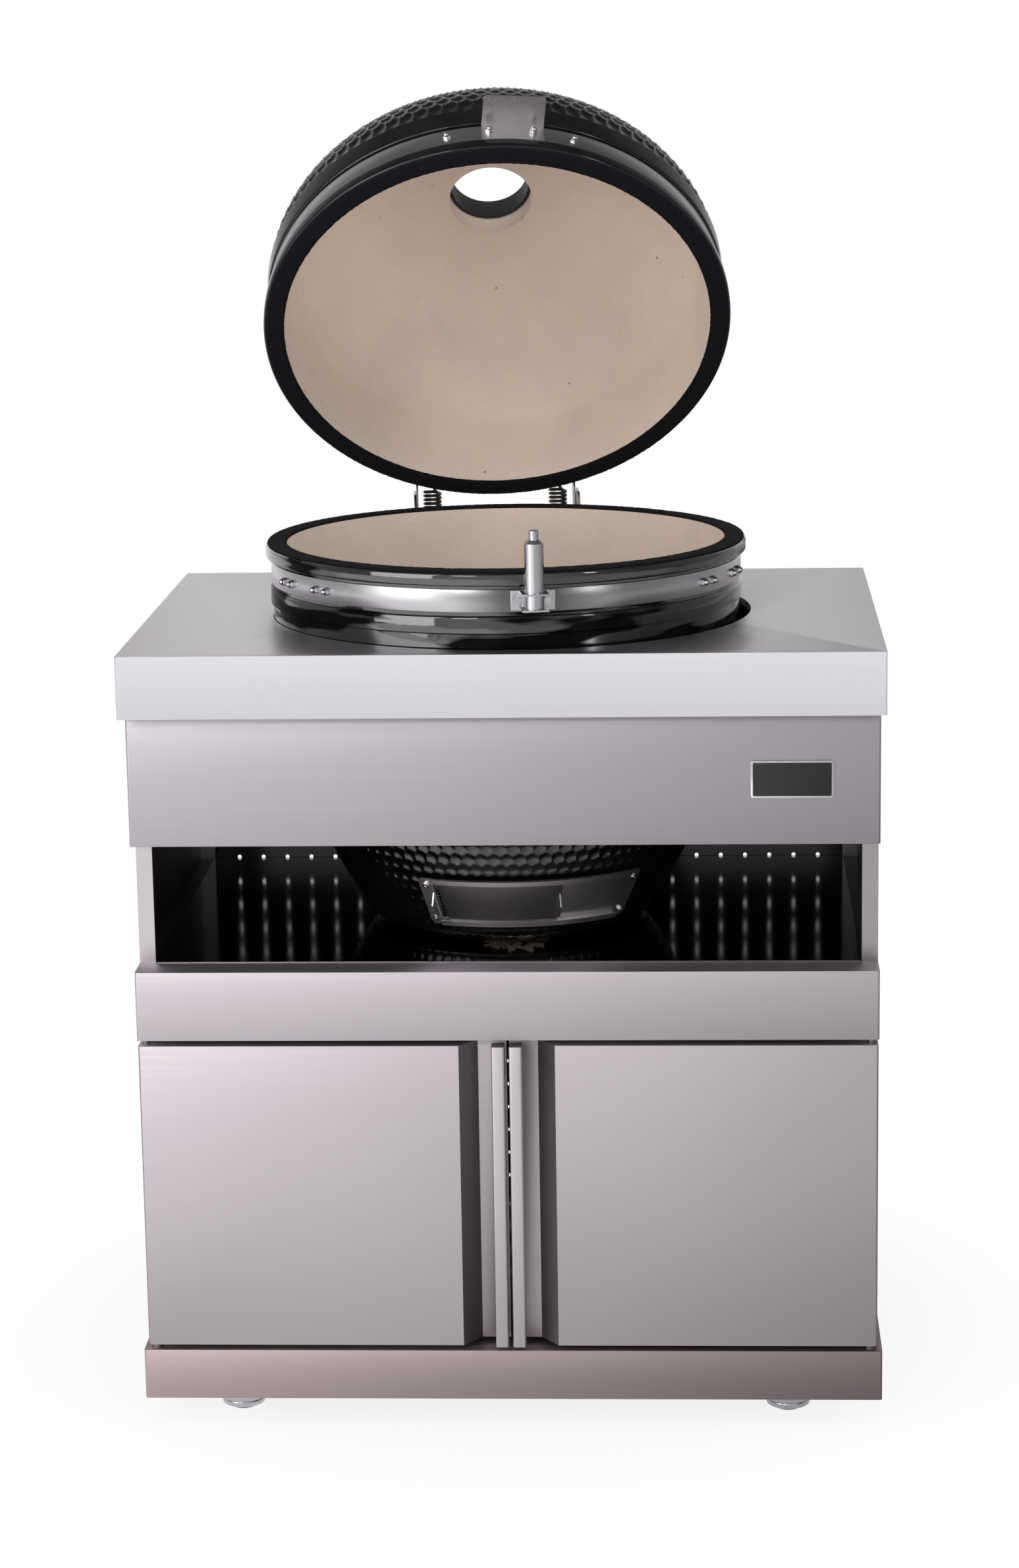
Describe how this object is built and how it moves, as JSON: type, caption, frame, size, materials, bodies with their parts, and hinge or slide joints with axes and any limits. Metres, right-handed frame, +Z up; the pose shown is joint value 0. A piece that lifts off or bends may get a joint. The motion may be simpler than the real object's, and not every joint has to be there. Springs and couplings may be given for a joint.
{
  "type": "modular outdoor kitchen",
  "caption": "Stainless steel cabinet with two doors and an open bay, carrying a ceramic egg grill with a sprung hinged lid in a round worktop cut-out.",
  "frame": {"origin": "middle of the whole outline on the floor, at the underside of the foot pads", "axes": "+Z up, -Y towards the user in front of the doors, +X to the user's right"},
  "size_m": [0.858, 0.7543, 1.5222],
  "materials": {
    "steel_worktop": "brushed along its width",
    "steel_front": "brushed along its width, soft sheen",
    "steel_body": "brushed sheet",
    "steel_dark": "dull sheet in shade",
    "catch_plastic": "moulded",
    "foot_chrome": "bright plated",
    "foot_rubber": "matt",
    "ceramic_glazed": "black glaze with shallow round pits outside, and plain beige fired clay inside",
    "firebrick": "rough fired clay",
    "felt_black": "dense felt",
    "band_steel": "polished along its length",
    "spring_steel": "dark drawn wire",
    "iron_black": "black coated casting",
    "grate_steel": "laser cut plate",
    "draft_steel": "polished sheet"
  },
  "bodies": {
    "cabinet": {"worktop": "steel_worktop", "worktop_stiffeners": "steel_dark", "left_side_panel": "steel_body", "right_side_panel": "steel_body", "back_panel": "steel_body", "fascia": "steel_front", "kamado_shelf": "steel_dark", "shelf_braces": "steel_dark", "lower_rail": "steel_front", "cupboard_floor": "steel_body", "plinth": "steel_front", "door_pivot_pins": "steel_dark", "door_catches": "catch_plastic", "foot_stems": "steel_dark", "foot_discs": "foot_chrome", "foot_pads": "foot_rubber", "bowl": "ceramic_glazed", "bowl_felt": "felt_black", "bowl_band": "band_steel", "bowl_band_nuts": "band_steel", "bowl_pads": "foot_rubber", "fire_box": "firebrick", "fire_ring": "firebrick", "charcoal_grate": "iron_black", "cooking_grate": "grate_steel", "draft_frame": "draft_steel", "draft_gasket": "felt_black", "draft_screws": "band_steel", "buffer_bracket": "band_steel", "buffer_screws": "band_steel", "buffer_sleeve": "band_steel", "hinge_base": "band_steel", "hinge_pin": "band_steel", "left_spring": "spring_steel", "right_spring": "spring_steel"},
    "left_door": {"left_door_pan": "steel_front", "left_door_liner": "steel_body", "left_handle": "steel_front"},
    "right_door": {"right_door_pan": "steel_front", "right_door_liner": "steel_body", "right_handle": "steel_front"},
    "lid": {"dome": "ceramic_glazed", "lid_felt": "felt_black", "lid_band": "band_steel", "lid_catch_plate": "band_steel", "lid_band_nuts": "band_steel", "hinge_arm": "band_steel", "vent_base": "iron_black"},
    "vent_cover": {"vent_cover": "iron_black"},
    "vent_wheel": {"vent_wheel": "iron_black"},
    "draft_slide": {"draft_slide": "draft_steel"},
    "draft_screen": {"draft_screen": "draft_steel"},
    "buffer_plunger": {"buffer_plunger": "band_steel"}
  },
  "joints": [
    {"name": "left_door_hinge", "type": "hinge", "parent": "cabinet", "child": "left_door", "pos_m": [-0.4149, -0.33788, 0.28], "axis": [0, 0, 1], "range_deg": [-105, 0]},
    {"name": "right_door_hinge", "type": "hinge", "parent": "cabinet", "child": "right_door", "pos_m": [0.4149, -0.33788, 0.28], "axis": [0, 0, 1], "range_deg": [0, 105]},
    {"name": "lid_hinge", "type": "hinge", "parent": "cabinet", "child": "lid", "pos_m": [-0.03334, 0.24326, 0.9518], "axis": [0.9963, 0.0859, 0], "range_deg": [0, 52.5], "stiffness_Nm_per_rad": 60, "springref_deg": -20.05, "deforming": ["left_spring", "right_spring"]},
    {"name": "vent_cover_swing", "type": "hinge", "parent": "lid", "child": "vent_cover", "pos_m": [0.02354, 0.33319, 1.41044], "axis": [-0.0682, 0.7904, 0.6088], "range_deg": [-150, 0]},
    {"name": "vent_wheel_turn", "type": "hinge", "parent": "vent_cover", "child": "vent_wheel", "pos_m": [0.08079, 0.31845, 1.43599], "axis": [-0.0682, 0.7904, 0.6088], "range_deg": [0, 22.5]},
    {"name": "draft_slide_travel", "type": "hinge", "parent": "cabinet", "child": "draft_slide", "pos_m": [-0.0065, -0.06788, 0.604], "axis": [0, 0, 1], "range_deg": [0, 23]},
    {"name": "draft_screen_travel", "type": "hinge", "parent": "cabinet", "child": "draft_screen", "pos_m": [-0.0065, -0.06788, 0.604], "axis": [0, 0, 1], "range_deg": [0, 23]},
    {"name": "buffer_travel", "type": "slide", "parent": "cabinet", "child": "buffer_plunger", "axis": [0, 0, 1], "range_m": [-0.009, 0], "stiffness_N_per_m": 1500, "springref_m": 0.004}
  ]
}
